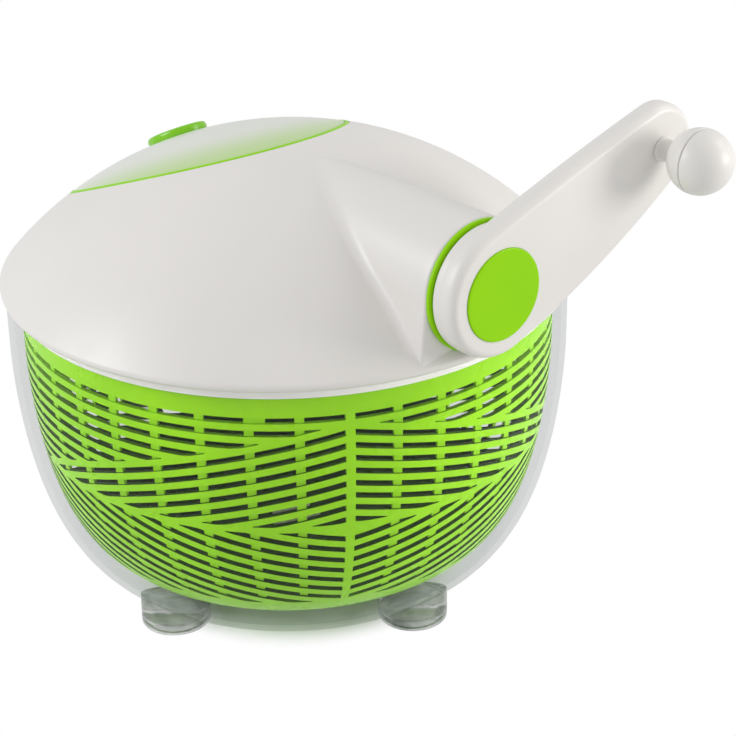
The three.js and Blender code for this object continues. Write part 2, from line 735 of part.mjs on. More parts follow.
function brakeSpring() {
  const [low, high] = [COVER_Z + COVER_THICK + 1.1, COLLAR_Z - 1.1];
  const [turns, coilR, wireR] = [4, 5.6, 0.8];
  class Helix extends THREE.Curve {
    getPoint(t, target = new THREE.Vector3()) {
      const angle = 2 * Math.PI * turns * t;
      return target.set(coilR * Math.cos(angle), coilR * Math.sin(angle), low + (high - low) * t);
    }
  }
  const section = new THREE.Shape().absarc(0, 0, wireR, 0, 2 * Math.PI);
  const geometry = new THREE.ExtrudeGeometry(section, {
    steps: 8 * turns,
    curveSegments: 2,
    extrudePath: new Helix(),
  }).translate(BUTTON_X, 0, 0);
  return piece("brake_spring", solid(geometry), materials.steel());
}

// ---- assembly -------------------------------------------------------------------------
function assembly(name, ...meshes) {
  const group = new THREE.Group();
  group.name = name;
  group.add(...meshes.flat());
  return group;
}

const bodies = [
  assembly("bowl_body", bowl(), pivotPin(), [1, 2, 3, 4].map(foot)),
  assembly("basket_body", basket(), basketBush()),
  assembly(
    "lid_body",
    lidShell(),
    windowPieces(),
    lidSkirt(),
    innerCover(),
    lidScrews(),
    bearingBracket(),
    bushes(),
    crankRing(),
  ),
  assembly(
    "crank_body",
    crankArm(),
    crankCap(),
    crankScrew(),
    crankShaft(),
    thrustWasher(),
    crownGear(),
    shaftClip(),
    knobPin(),
  ),
  assembly("knob_body", knobHalf("knob_rear", -1), knobHalf("knob_front", 1)),
  assembly("spindle_body", spindle(), pinion(), driveDisc(), discScrew()),
  assembly("brake_body", brakeButton(), brakeStem(), brakePad(), brakeSpring()),
];

const group = new THREE.Group();
group.name = "salad_spinner";
group.add(...bodies);

export default group;
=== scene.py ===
"""Looks for the salad spinner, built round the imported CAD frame. Lengths are in millimetres until
a mesh is made; to_object() turns them into metres."""

import json
import math

import bmesh
import bpy
from mathutils import Matrix, Vector
from mathutils.geometry import delaunay_2d_cdt


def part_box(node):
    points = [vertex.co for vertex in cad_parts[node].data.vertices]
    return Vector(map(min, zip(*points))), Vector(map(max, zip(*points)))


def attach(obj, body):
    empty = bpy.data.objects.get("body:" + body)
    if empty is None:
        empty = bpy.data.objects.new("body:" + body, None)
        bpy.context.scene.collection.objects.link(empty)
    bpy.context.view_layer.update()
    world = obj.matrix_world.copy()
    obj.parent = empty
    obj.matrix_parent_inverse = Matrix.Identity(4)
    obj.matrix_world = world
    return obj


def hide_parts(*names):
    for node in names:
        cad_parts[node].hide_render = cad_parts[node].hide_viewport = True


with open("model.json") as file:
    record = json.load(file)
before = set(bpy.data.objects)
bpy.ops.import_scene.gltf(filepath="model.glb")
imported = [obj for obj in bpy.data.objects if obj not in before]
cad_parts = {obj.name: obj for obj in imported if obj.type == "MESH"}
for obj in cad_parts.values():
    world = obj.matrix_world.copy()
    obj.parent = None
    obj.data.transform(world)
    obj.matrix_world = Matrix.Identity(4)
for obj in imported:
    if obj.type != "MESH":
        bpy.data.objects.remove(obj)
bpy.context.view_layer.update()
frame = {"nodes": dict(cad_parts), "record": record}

MM = 0.001
TAU = 2 * math.pi


def box_mm(node):
    """A CAD node's lowest and highest corners in millimetres."""
    low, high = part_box(node)
    return low / MM, high / MM


def middle_mm(node):
    """The middle of a CAD node's box in millimetres."""
    return [(a + b) / 2 for a, b in zip(*box_mm(node))]


# ---- driving sizes, read from the frame where it has them --------------------------------
RIM_R = box_mm("bowl")[1].x
RIM_Z = box_mm("lid_shell")[0].z
BOWL_TOP = box_mm("bowl")[1].z
STRAIGHT_Z = 119.0                 # above it the walls of bowl and basket are upright
DEPTH_POWER = 1.8                  # below it (r / R)**power + depth**DEPTH_POWER is 1
BOWL_POWER = 6
BOWL_WALL = 2.6
BOWL_FLAT_R = 58.0                 # of its flat bottom
BOWL_BEND_R = 112.0                # where the bottom's curve turns up into the wall
LIP_Z = 133.0                      # where the bowl's lip starts
FLOOR_Z = box_mm("foot_1")[0].z
FOOT_R = 16.0
BASKET_R = box_mm("basket")[1].y
BASKET_LOW = box_mm("basket")[0].z
BASKET_TOP = box_mm("basket")[1].z
BASKET_POWER = 7
BASKET_WALL = 2.3
BASKET_BAND_Z = 136.0              # where the basket's plain upper band starts
TAB_REACH = 12.6                   # of the basket's four tabs, inwards from its outside
TAB_HALF = 3.5                     # half a tab's width
DOME_R = 172.0
DOME_CENTRE = box_mm("lid_shell")[1].z - DOME_R     # its height
DOME_FOOT_R = 129.3                # where the dome meets the rounding of its edge
DOME_EDGE_R = box_mm("lid_shell")[1].y
LID_WALL = 2.6
WINDOW_X = middle_mm("window")[0]
WINDOW_R = (box_mm("window")[1].y - box_mm("window")[0].y) / 2
TRIM_WIDTH = 2.0
BUTTON_X = middle_mm("brake_button")[0]
BUTTON_R = 14.0
BUTTON_RISE = 3.5
AXIS_Z = middle_mm("crank_cap")[2]     # height of the crank's axis
HOUSING_NOSE = 29.0                # where the housing's level ridge leaves the dome
HOUSING_END = 126.0
HOUSING_R = 28.6
HOUSING_POINT = 0.1                # power of the housing's plan; smaller is blunter
HOUSING_DRAFT = 0.09
HOUSING_FILLET = 5.0               # where the housing flows into the dome
HOUSING_REACH = 129.0              # the fillet stays within this radius of the lid
END_WALL = 3.0
HUB_BACK, ARM_FRONT = box_mm("crank_arm")[0].x, box_mm("crank_arm")[1].x
ARM_BACK = 131.5
ARM_FILLET = 4.4                   # round the arm's front edge
HUB_R = AXIS_Z - box_mm("crank_arm")[0].z
NECK_R = 27.7
SHAFT_R = 4.0
BORE_R = 3.3                       # of the knob's stud
CAP_R = box_mm("crank_cap")[1].y
KNOB_R = (box_mm("knob_front")[1].y - box_mm("knob_front")[0].y) / 2
KNOB_CENTRE = Vector((box_mm("knob_front")[1].x - KNOB_R, *middle_mm("knob_front")[1:]))
STUD_HEAD_R = 5.2
TIP_R = 19.25
ARM_BOWS = {-1: 3.2, 1: 1.0}       # how far the arm's lower and upper sides bulge
ARM_LENGTH = math.hypot(KNOB_CENTRE.y, KNOB_CENTRE.z - AXIS_Z)
ARM_ANGLE = math.atan2(KNOB_CENTRE.z - AXIS_Z, KNOB_CENTRE.y)


# ---- materials ---------------------------------------------------------------------------
def set_inputs(node, values):
    for name, value in values.items():
        node.inputs[name].default_value = value


def node_material(name, inputs):
    """A node material whose shader has some of its inputs set."""
    material = bpy.data.materials.new(name)
    material.use_nodes = True
    nodes = material.node_tree.nodes
    shader = nodes["Principled BSDF"]
    set_inputs(shader, inputs)
    return material, nodes, material.node_tree.links, shader


def add_node(nodes, kind, inputs=None, **settings):
    """A shader node with its settings and the values of its unlinked inputs."""
    node = nodes.new("ShaderNode" + kind)
    for name, value in settings.items():
        setattr(node, name, value)
    set_inputs(node, inputs or {})
    return node


def mapped_noise(nodes, links, scale, low, high):
    """A noise over the object, remapped to run from low to high."""
    coordinates = add_node(nodes, "TexCoord")
    noise = add_node(nodes, "TexNoise", {"Scale": scale, "Detail": 3.0})
    span = add_node(nodes, "MapRange", {
        "From Min": 0.3, "From Max": 0.7, "To Min": low, "To Max": high,
    })
    links.new(coordinates.outputs["Object"], noise.inputs["Vector"])
    links.new(noise.outputs["Fac"], span.inputs["Value"])
    return span.outputs["Result"]


def smooth_ramp(nodes, links, value, start, end):
    """Runs from 0 to 1 while a value runs from start to end, eased at both."""
    ramp = add_node(nodes, "MapRange", {"From Min": start, "From Max": end},
                    interpolation_type="SMOOTHSTEP")
    links.new(value, ramp.inputs["Value"])
    return ramp.outputs["Result"]


def mixed_colour(nodes, links, share, first, second):
    """A colour that goes from the first to the second as share goes from 0 to 1."""
    mix = add_node(nodes, "Mix", {"A": (*first, 1), "B": (*second, 1)}, data_type="RGBA")
    links.new(share, mix.inputs["Factor"])
    return mix.outputs["Result"]


def mixed_surface(material, share, first, second):
    """Shows the first shader where share is 0 and the second where it is 1."""
    nodes, links = material.node_tree.nodes, material.node_tree.links
    mix = add_node(nodes, "MixShader")
    links.new(share, mix.inputs["Fac"])
    links.new(first, mix.inputs[1])
    links.new(second, mix.inputs[2])
    links.new(mix.outputs["Shader"], nodes["Material Output"].inputs["Surface"])
    return material


def add_bump(nodes, links, shader, scale, strength, distance):
    """A fine moulded grain."""
    bump = add_node(nodes, "Bump", {"Strength": strength, "Distance": distance})
    links.new(mapped_noise(nodes, links, scale, 0.0, 1.0), bump.inputs["Height"])
    links.new(bump.outputs["Normal"], shader.inputs["Normal"])


def uneven_polish(nodes, links, shader, scale, low, high):
    """Roughness that drifts between low and high."""
    links.new(mapped_noise(nodes, links, scale, low, high), shader.inputs["Roughness"])


def two_tone(nodes, links, shader, light, dark, scale=14.0):
    """Colour drifting slowly between two close tones, as moulded plastic does; on the feet the two
    tones lie far apart and are painted glints and reflections.
    """
    drift = mapped_noise(nodes, links, scale, 0.0, 1.0)
    links.new(mixed_colour(nodes, links, drift, light, dark), shader.inputs["Base Color"])


def plastic(name, light, dark, roughness, grain=0.05, gloss=0.5, soft=0.0):
    """Moulded plastic: two close tones, uneven polish and a fine grain."""
    material, nodes, links, shader = node_material(name, {"Specular IOR Level": gloss})
    two_tone(nodes, links, shader, light, dark)
    uneven_polish(nodes, links, shader, 55.0, roughness - 0.04, roughness + 0.05)
    if soft:
        set_inputs(shader, {
            "Subsurface Weight": soft, "Subsurface Radius": (0.004, 0.004, 0.003),
        })
    add_bump(nodes, links, shader, 900.0, grain, 0.0002)
    return material


def shaded_inside(base, inside, centre):
    """Darkens the faces that look towards a vessel's centre, as the shade inside it does."""
    nodes, links = base.node_tree.nodes, base.node_tree.links
    shader = nodes["Principled BSDF"]
    coordinates = add_node(nodes, "TexCoord")
    outwards = add_node(nodes, "VectorMath", {1: Vector(centre) * MM}, operation="SUBTRACT")
    unit = add_node(nodes, "VectorMath", operation="NORMALIZE")
    facing = add_node(nodes, "VectorMath", operation="DOT_PRODUCT")
    share = add_node(nodes, "MapRange", {"From Min": -0.1, "From Max": -0.3})
    mix = add_node(nodes, "Mix", {"B": (*inside, 1)}, data_type="RGBA")
    links.new(shader.inputs["Base Color"].links[0].from_socket, mix.inputs["A"])
    links.new(coordinates.outputs["Object"], outwards.inputs[0])
    links.new(outwards.outputs["Vector"], unit.inputs[0])
    links.new(unit.outputs["Vector"], facing.inputs[0])
    links.new(coordinates.outputs["Normal"], facing.inputs[1])
    links.new(facing.outputs["Value"], share.inputs["Value"])
    links.new(share.outputs["Result"], mix.inputs["Factor"])
    links.new(mix.outputs["Result"], shader.inputs["Base Color"])
    return base


def clear_plastic(name, tint, low_tint, roughness):
    """Clear thin-walled plastic, greyer towards the base, partly as the plastic thickens there and
    partly as painted shade from under the bowl. It doesn't bend the view, a glossy coat gives its
    glints, and it casts almost no shadow."""
    # The greyer tint low down is partly painted shade from under the bowl, partly the thicker base.
    greyest_z, clearest_z = 0.002, 0.040     # metres; the tint fades between these heights
    material, nodes, links, shader = node_material(name, {
        "Transmission Weight": 1.0, "IOR": 1.0,
        "Coat Weight": 0.25, "Coat Roughness": 0.12, "Coat IOR": 1.5,
    })
    coordinates = add_node(nodes, "TexCoord")
    split = add_node(nodes, "SeparateXYZ")
    links.new(coordinates.outputs["Object"], split.inputs["Vector"])
    height = smooth_ramp(nodes, links, split.outputs["Z"], greyest_z, clearest_z)
    colour = mixed_colour(nodes, links, height, low_tint, tint)
    links.new(colour, shader.inputs["Base Color"])
    uneven_polish(nodes, links, shader, 30.0, roughness, roughness + 0.02)
    path = add_node(nodes, "LightPath")
    through = add_node(nodes, "BsdfTransparent", {"Color": (0.96, 0.97, 0.97, 1)})
    return mixed_surface(material, path.outputs["Is Shadow Ray"],
                         shader.outputs["BSDF"], through.outputs["BSDF"])


def plastic_with_painted_glints(name, light, dark, roughness):
    """Soft clear plastic of the feet, mottled light and dark as painted glints and reflections."""
    material, nodes, links, shader = node_material(name, {
        "Transmission Weight": 0.8, "IOR": 1.3,
    })
    # Painted glints and reflections: a fine mottle of far-apart light and dark tones.
    two_tone(nodes, links, shader, light, dark, 70.0)
    uneven_polish(nodes, links, shader, 90.0, roughness - 0.05, roughness + 0.1)
    add_bump(nodes, links, shader, 140.0, 0.25, 0.0012)
    return material


def frosted_window(name):
    """Milky cover plate, palest near the button and greener away from it."""
    milky, green = (0.74, 0.76, 0.70), (0.50, 0.68, 0.30)
    palest = (WINDOW_X * MM - 0.028, 0.010, 0)
    pale_r, green_r = 0.060, 0.094     # metres from the palest point
    material, nodes, links, shader = node_material(name, {})
    coordinates = add_node(nodes, "TexCoord")
    centred = add_node(nodes, "VectorMath", {1: palest}, operation="SUBTRACT")
    flat = add_node(nodes, "VectorMath", {1: (1, 1, 0)}, operation="MULTIPLY")
    length = add_node(nodes, "VectorMath", operation="LENGTH")
    links.new(coordinates.outputs["Object"], centred.inputs[0])
    links.new(centred.outputs["Vector"], flat.inputs[0])
    links.new(flat.outputs["Vector"], length.inputs[0])
    away = smooth_ramp(nodes, links, length.outputs["Value"], pale_r, green_r)
    links.new(mixed_colour(nodes, links, away, milky, green), shader.inputs["Base Color"])
    uneven_polish(nodes, links, shader, 25.0, 0.30, 0.34)
    add_bump(nodes, links, shader, 2400.0, 0.01, 0.0001)
    return material


def metal(name, colour, roughness):
    """Turned or plated metal with fine uneven polish."""
    material, nodes, links, shader = node_material(name, {"Metallic": 1.0})
    two_tone(nodes, links, shader, colour, tuple(0.8 * c for c in colour), 120.0)
    uneven_polish(nodes, links, shader, 300.0, roughness - 0.06, roughness + 0.08)
    add_bump(nodes, links, shader, 2500.0, 0.08, 0.0001)
    return material


SLOTS = {
    # The bowl's second tint, at its base, is partly painted shade.
    "clear_plastic": clear_plastic(
        "clear_plastic", (0.935, 0.945, 0.945), (0.80, 0.835, 0.81), 0.01),
    # The feet's light and dark mottle is painted glints and reflections.
    "foot_rubber": plastic_with_painted_glints("foot_rubber", (0.88, 0.90, 0.87), (0.24, 0.27, 0.25), 0.12),
    "green_basket": shaded_inside(
        plastic("green_basket", (0.30, 0.66, 0.002), (0.25, 0.58, 0.002), 0.28, gloss=0.2),
        (0.022, 0.060, 0.001), (0, 0, 150)),
    "green_trim": plastic("green_trim", (0.30, 0.70, 0.0), (0.27, 0.64, 0.0), 0.3, gloss=0.15),
    "green_button": plastic(
        "green_button", (0.24, 0.62, 0.002), (0.18, 0.54, 0.002), 0.22, soft=0.2),
    "white_plastic": plastic("white_plastic", (0.78, 0.755, 0.725), (0.75, 0.73, 0.70), 0.36),
    "inner_white_plastic": plastic(
        "inner_white_plastic", (0.72, 0.71, 0.68), (0.68, 0.67, 0.64), 0.5),
    "frosted_window": frosted_window("frosted_window"),
    "gear_plastic": plastic("gear_plastic", (0.80, 0.78, 0.70), (0.74, 0.72, 0.64), 0.42),
    "brake_rubber": plastic("brake_rubber", (0.03, 0.03, 0.03), (0.045, 0.045, 0.045), 0.7, 0.3),
    "steel": metal("steel", (0.62, 0.63, 0.64), 0.3),
}


# ---- meshes ------------------------------------------------------------------------------
def linked(name, data):
    """An object in the scene that shows the data."""
    obj = bpy.data.objects.new(name, data)
    bpy.context.scene.collection.objects.link(obj)
    return obj


def welded(name, points, faces, weld, thin=0.0):
    """A mesh from points in millimetres: welded, without faces thinner than thin, facing out."""
    mesh = bpy.data.meshes.new(name)
    mesh.from_pydata([Vector(p) * MM for p in points], [], faces)
    work = bmesh.new()
    work.from_mesh(mesh)
    bmesh.ops.remove_doubles(work, verts=work.verts, dist=weld * MM)
    if thin:
        bmesh.ops.dissolve_degenerate(work, edges=work.edges, dist=thin * MM)
    bmesh.ops.recalc_face_normals(work, faces=work.faces)
    work.to_mesh(mesh)
    work.free()
    return mesh


def to_object(name, points, faces, slot, body, replaces, sharp=35.0):
    """A piece from points in millimetres, with its material, riding on its body."""
    piece = linked(name, welded(name, points, faces, 0.004, 0.002))
    dress(piece, slot, body, replaces, sharp)


def plain_object(name, points, faces):
    """A closed solid for joining and cutting; it is dressed later or dropped."""
    return linked(name, welded(name, points, faces, 0.001))


def smooth(mesh, sharp):
    """Smooth shading but for edges sharper than an angle in degrees."""
    mesh.shade_smooth()
    mesh.set_sharp_from_angle(angle=math.radians(sharp))


def dress(piece, slot, body, replaces, sharp=35.0):
    """Gives a piece its shading, material and slot, its body and the nodes it replaces."""
    smooth(piece.data, sharp)
    piece.data.materials.clear()
    piece.data.materials.append(SLOTS[slot])
    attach(piece, body)
    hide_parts(*replaces)


def rounded(corners, steps=4):
    """A profile from (radius, height, fillet) corners, each fillet a smooth curve."""
    path = []
    count = len(corners)
    for i, (r, h, fillet) in enumerate(corners):
        here = Vector((r, h))
        if not fillet or i in (0, count - 1):
            path.append(here)
            continue
        before = Vector(corners[i - 1][:2]) - here
        after = Vector(corners[i + 1][:2]) - here
        a = here + before.normalized() * min(fillet, before.length * 0.49)
        b = here + after.normalized() * min(fillet, after.length * 0.49)
        for k in range(steps + 1):
            t = k / steps
            path.append((1 - t) ** 2 * a + 2 * t * (1 - t) * here + t**2 * b)
    return path


def turned(profile, segments, axis="Z", centre=(0, 0, 0), closed=False):
    """Points and faces of a profile of (radius, height) turned about an axis."""
    points, faces, rings = [], [], []
    for r, h in profile:
        ring = []
        for k in range(1 if r < 1e-6 else segments):
            angle = TAU * k / segments
            x, y = r * math.cos(angle), r * math.sin(angle)
            place = (x, y, h) if axis == "Z" else (h, x, y)
            ring.append(len(points))
            points.append(Vector(place) + Vector(centre))
        rings.append(ring)
    pairs = list(zip(rings, rings[1:]))
    if closed:
        pairs.append((rings[-1], rings[0]))
    for low, high in pairs:
        for k in range(segments):
            n = (k + 1) % segments
            quad = [low[k % len(low)], low[n % len(low)], high[n % len(high)], high[k % len(high)]]
            corners = list(dict.fromkeys(quad))
            if len(corners) > 2:
                faces.append(corners)
    return points, faces


def turned_piece(name, corners, slot, body, replaces, segments, axis="Z",
                 centre=(0, 0, 0), closed=False):
    """A piece turned from (radius, height, fillet) corners."""
    points, faces = turned(rounded(corners), segments, axis, centre, closed)
    to_object(name, points, faces, slot, body, replaces)


def turned_solid(name, corners, segments, axis="Z", centre=(0, 0, 0)):
    """A ring for joining and cutting, turned from (radius, height, fillet) corners."""
    return plain_object(name, *turned(rounded(corners), segments, axis, centre, closed=True))


def cylinder(name, radius, low, high, segments, axis="Z", centre=(0, 0, 0)):
    profile = [(0, low), (radius, low), (radius, high), (0, high)]
    return plain_object(name, *turned(profile, segments, axis, centre))


def append_skin(points, faces, more, quads):
    """Adds one skin's points and faces to a piece's."""
    base = len(points)
    points += more
    faces += [[base + i for i in quad] for quad in quads]


def tab_turn(k):
    """Turns something on the x axis to the basket's k-th tab."""
    return Matrix.Rotation(math.radians(90 * k + 45), 3, "Z")


def combine(target, other, operation):
    """Joins other to target or cuts it away, then drops it."""
    modifier = target.modifiers.new(operation, "BOOLEAN")
    modifier.operation = operation
    modifier.solver = "EXACT"
    modifier.object = other
    graph = bpy.context.evaluated_depsgraph_get()
    result = bpy.data.meshes.new_from_object(target.evaluated_get(graph))
    target.modifiers.clear()
    target.data = result
    bpy.data.objects.remove(other)


def loft(rings):
    """Points and faces of a closed skin over equal rings; each end is closed by one face."""
    count = len(rings[0])
    points = [p for ring in rings for p in ring]
    faces = []
    for k in range(len(rings) - 1):
        for i in range(count):
            a, b = k * count + i, k * count + (i + 1) % count
            faces.append([a, b, b + count, a + count])
    faces.append(list(range(count))[::-1])
    faces.append([(len(rings) - 1) * count + i for i in range(count)])
    return points, faces


# ---- bowl --------------------------------------------------------------------------------
def wall_radius(z, top, low, power):
    """A wall's outer radius at a height, from its radius at the top and its lowest height."""
    depth = min(max((STRAIGHT_Z - z) / (STRAIGHT_Z - low), 0.0), 1.0)
    return top * (1 - depth**DEPTH_POWER) ** (1 / power)


def bowl_height(r):
    """Height of the bowl's outer surface at a radius."""
    if r <= BOWL_FLAT_R:
        return 0.0
    share = (1 - min(r / RIM_R, 1.0) ** BOWL_POWER) ** (1 / DEPTH_POWER)
    return STRAIGHT_Z - STRAIGHT_Z * share


def offset_profile(profile, distance):
    """A profile moved sideways, to its left as it runs."""
    moved = []
    for i, point in enumerate(profile):
        along = profile[min(i + 1, len(profile) - 1)] - profile[max(i - 1, 0)]
        left = Vector((-along.y, along.x)).normalized()
        moved.append(point + left * distance)
    return moved


def bowl_outline():
    """The bowl's outer profile, from the middle of its bottom up to its lip."""
    bottom_steps, wall_steps = 14, 18
    outline = [Vector((r, 0.0)) for r in (0, 20, 40, 52, BOWL_FLAT_R)]
    for k in range(1, bottom_steps + 1):
        r = BOWL_FLAT_R + (BOWL_BEND_R - BOWL_FLAT_R) * k / bottom_steps
        outline.append(Vector((r, bowl_height(r))))
    start = outline[-1].y
    for k in range(1, wall_steps + 1):
        z = start + (STRAIGHT_Z - start) * k / wall_steps
        outline.append(Vector((wall_radius(z, RIM_R, 0, BOWL_POWER), z)))
    outline.append(Vector((RIM_R, LIP_Z)))
    return outline


def bowl():
    outside = bowl_outline()
    inside = offset_profile(outside, BOWL_WALL)
    inside[0].x = 0.0
    inner_r, fillet = RIM_R - BOWL_WALL, 0.9
    lip = rounded([
        (RIM_R, LIP_Z, 0), (RIM_R, BOWL_TOP, fillet), (inner_r, BOWL_TOP, fillet),
        (inner_r, LIP_Z, 0),
    ])
    profile = outside + lip[1:-1] + inside[::-1]
    points, faces = turned(profile, 160)
    to_object("clear_bowl", points, faces, "clear_plastic", "bowl", ["bowl"], 50)


def foot(number):
    """A round pad with a hollow tread and a groove; its top follows the bowl's underside."""
    cx, cy, _ = middle_mm(f"foot_{number}")
    segments = 72
    hollow_r, tread_r, groove_r = 9.5, 12, FOOT_R - 1.1
    sunk = 0.15                        # how far the top stands in the bowl's bottom

    def around(r):
        for k in range(segments):
            yield cx + r * math.cos(TAU * k / segments), cy + r * math.sin(TAU * k / segments)

    levels = [(hollow_r, FLOOR_Z + 1.2), (hollow_r + 1, FLOOR_Z + 0.2), (tread_r, FLOOR_Z)]
    levels += rounded([
        (tread_r, FLOOR_Z, 0), (FOOT_R, FLOOR_Z, 1.4), (FOOT_R, -1.6, 0.5),
        (groove_r, -1.4, 0.2), (groove_r, -0.5, 0.2), (FOOT_R, -0.3, 0.3), (FOOT_R, 0.4, 0),
    ])[1:]
    rings = [[(x, y, z) for x, y in around(r)] for r, z in levels]
    for r in (FOOT_R - 0.2, 12.0, 7.0, 2.0):
        rings.append([(x, y, max(bowl_height(math.hypot(x, y)) - sunk, -sunk))
                      for x, y in around(r)])
    points, faces = loft(rings)
    to_object(f"foot_pad_{number}", points, faces, "foot_rubber", "bowl", [f"foot_{number}"])


# ---- basket ------------------------------------------------------------------------------
LEAF_ANGLE = math.radians(-26.6)   # where a leaf's continuous middle rib stands
HALF_LEAF = 90.0                   # degrees from a middle rib to the leaf's tip
CELL = 10.0                        # degrees between ribs
RIB = 0.95                         # half a rib, in degrees
UPPER_LINES, MIDDLE_LINES, LOWER_LINES = 10, 9, 17
SLOT_TOP, SLOT_LOW = 131.5, 31.0   # heights between which there are slots
LEAF_TIP_Z = 76.5                  # where the middle and lower tiers meet
SLOT_H = 2.8                       # height of a slot
PITCH = 6.1                        # height between two lines of slots
TIER_TOP_Z = 126.3                 # where the upper and middle tiers meet at a middle rib
MARGIN = 1.5                       # half the plain band between two tiers
UPPER_Z, LOWER_Z = 133.0, 30.0     # the slotted part lies between these heights
RECESS = 0.8                       # how far a rib lies below the bars that cross it
LATTICE_STEP = 2.0                 # degrees
BAR, CROSSING_RIB, OPEN_SLOT = 0, 1, 2


def lean(angle):
    """How far a slanted line has moved from its height at the middle rib."""
    return 0.42 * angle + 0.0028 * angle**2


def tier_edge(angle):
    """Height of the line between the upper and the middle tier."""
    return TIER_TOP_Z - lean(angle)


def slot_lines():
    """Every line of slots as (lower edge, upper edge), each a function of the angle."""
    half = SLOT_H / 2
    lines = []
    for k in range(UPPER_LINES):
        middle = SLOT_TOP - half - 0.97 * PITCH * k
        lines.append((lambda a, m=middle: max(m - half, tier_edge(a) + MARGIN),
                      lambda a, m=middle: m + half))
    for k in range(MIDDLE_LINES):
        drop = 3.1 + PITCH * k
        lines.append((lambda a, d=drop: max(tier_edge(a) - d - half, LEAF_TIP_Z + MARGIN),
                      lambda a, d=drop: tier_edge(a) - d + half))
    for k in range(LOWER_LINES):
        start = 69.2 - PITCH * k
        lines.append((lambda a, s=start: max(s + lean(a) - half, SLOT_LOW),
                      lambda a, s=start: min(s + lean(a) + half, LEAF_TIP_Z - MARGIN)))
    return lines


def line_stops(low, high):
    """Angles at which a line of slots starts, ends, bends or crosses a rib's side."""
    fine, least_height, least_gap = 0.1, 0.35, 0.25
    tries = [k * fine for k in range(round(HALF_LEAF / fine) + 1)]
    inside = [angle for angle in tries if high(angle) - low(angle) > least_height]
    if len(inside) < 12:
        return []
    start, end = inside[0], inside[-1]
    stops = {start, end}
    for k in range(round(HALF_LEAF / CELL) + 1):
        stops |= {k * CELL - RIB, k * CELL + RIB}
    stops |= {k * LATTICE_STEP for k in range(round(HALF_LEAF / LATTICE_STEP) + 1)}
    kept = sorted(s for s in stops if start <= s <= end)
    spaced = [kept[0]]
    for s in kept[1:]:
        if s - spaced[-1] > least_gap:
            spaced.append(s)
        elif abs((s + RIB) % CELL) < 1e-6 or abs((s - RIB) % CELL) < 1e-6 or s == end:
            spaced[-1] = s
    return spaced


def nearest_rib(angle):
    """How far the nearest rib's middle is, in degrees."""
    return abs(angle - CELL * round(angle / CELL))


def lattice():
    """The quarter's flat pattern: points (angle, height) and triangles with their kind."""
    flat, edges, index = [], [], {}
    scale = BASKET_R * math.pi / 180

    def point(angle, height):
        key = (round(angle, 4), round(height, 4))
        if key not in index:
            index[key] = len(flat)
            flat.append(Vector((angle * scale, height)))
        return index[key]

    def edge(a, b):
        if a != b:
            edges.append((a, b))

    lines = slot_lines()
    for low, high in lines:
        stops = line_stops(low, high)
        pairs = [(point(s, low(s)), point(s, high(s))) for s in stops]
        for (a, b), (c, d) in zip(pairs, pairs[1:]):
            edge(a, c)
            edge(b, d)
        for stop, (a, b) in zip(stops, pairs):
            if stop in (stops[0], stops[-1]) or abs(nearest_rib(stop) - RIB) < 1e-6:
                edge(a, b)
    steps = round(HALF_LEAF / LATTICE_STEP)
    for height in (LOWER_Z, UPPER_Z):
        row = [point(k * LATTICE_STEP, height) for k in range(steps + 1)]
        for a, b in zip(row, row[1:]):
            edge(a, b)
    verts, _, tris, _, _, _ = delaunay_2d_cdt(flat, edges, [], 0, 1e-5)
    kinds = []
    for tri in tris:
        centre = sum((verts[i] for i in tri), Vector((0, 0))) / len(tri)
        angle, height = centre.x / scale, centre.y
        cut = any(low(angle) + 1e-3 < height < high(angle) - 1e-3
                  and high(angle) - low(angle) > 0.3 for low, high in lines)
        if not cut or angle < RIB:
            kinds.append(BAR)
        else:
            kinds.append(CROSSING_RIB if nearest_rib(angle) < RIB else OPEN_SLOT)
    return [(v.x / scale, v.y) for v in verts], tris, kinds


def basket_place(angle, height, depth):
    """A point of the basket's wall, depth millimetres under its outer surface."""
    step = 0.5
    here = wall_radius(height, BASKET_R, BASKET_LOW, BASKET_POWER)
    slope = (wall_radius(height + step, BASKET_R, BASKET_LOW, BASKET_POWER) - here) / step
    across = Vector((1.0, -slope)).normalized()
    r, z = here - across.x * depth, height - across.y * depth
    return Vector((r * math.cos(angle), r * math.sin(angle), z))


def slotted_wall():
    """The slotted part of the wall as a stepped solid: bars, recessed ribs and open slots."""
    flat, tris, kinds = lattice()
    depths = (0.0, RECESS, BASKET_WALL)
    points, faces, sides = [], [], {}
    for tri, kind in zip(tris, kinds):
        for a, b in zip(tri, tri[1:] + tri[:1]):
            sides.setdefault(frozenset((a, b)), []).append(kind)
    for half_turn in (0, 1):
        for mirror in (1, -1):
            base = len(points)
            for angle, height in flat:
                turn = LEAF_ANGLE + half_turn * math.pi + mirror * math.radians(angle)
                points += [basket_place(turn, height, depth) for depth in depths]
            for tri, kind in zip(tris, kinds):
                if kind != OPEN_SLOT:
                    faces.append([base + 3 * i + kind for i in tri])
                    faces.append([base + 3 * i + 2 for i in reversed(tri)])
            for pair, found in sides.items():
                if len(found) < 2 or found[0] == found[1]:
                    continue
                a, b = pair
                for level in range(min(found), max(found)):
                    faces.append([base + 3 * a + level, base + 3 * b + level,
                                  base + 3 * b + level + 1, base + 3 * a + level + 1])
    return points, faces


def ring_strip(rows):
    """A band of quads through rows of (radius, height), in step with the slotted wall."""
    segments = round(360 / LATTICE_STEP)
    points, faces = [], []
    for r, z in rows:
        for k in range(segments):
            angle = LEAF_ANGLE + math.radians(k * LATTICE_STEP)
            points.append(Vector((r * math.cos(angle), r * math.sin(angle), z)))
    for j in range(len(rows) - 1):
        for k in range(segments):
            n = (k + 1) % segments
            a, b = j * segments, (j + 1) * segments
            faces.append([a + k, a + n, b + n, b + k])
    return points, faces


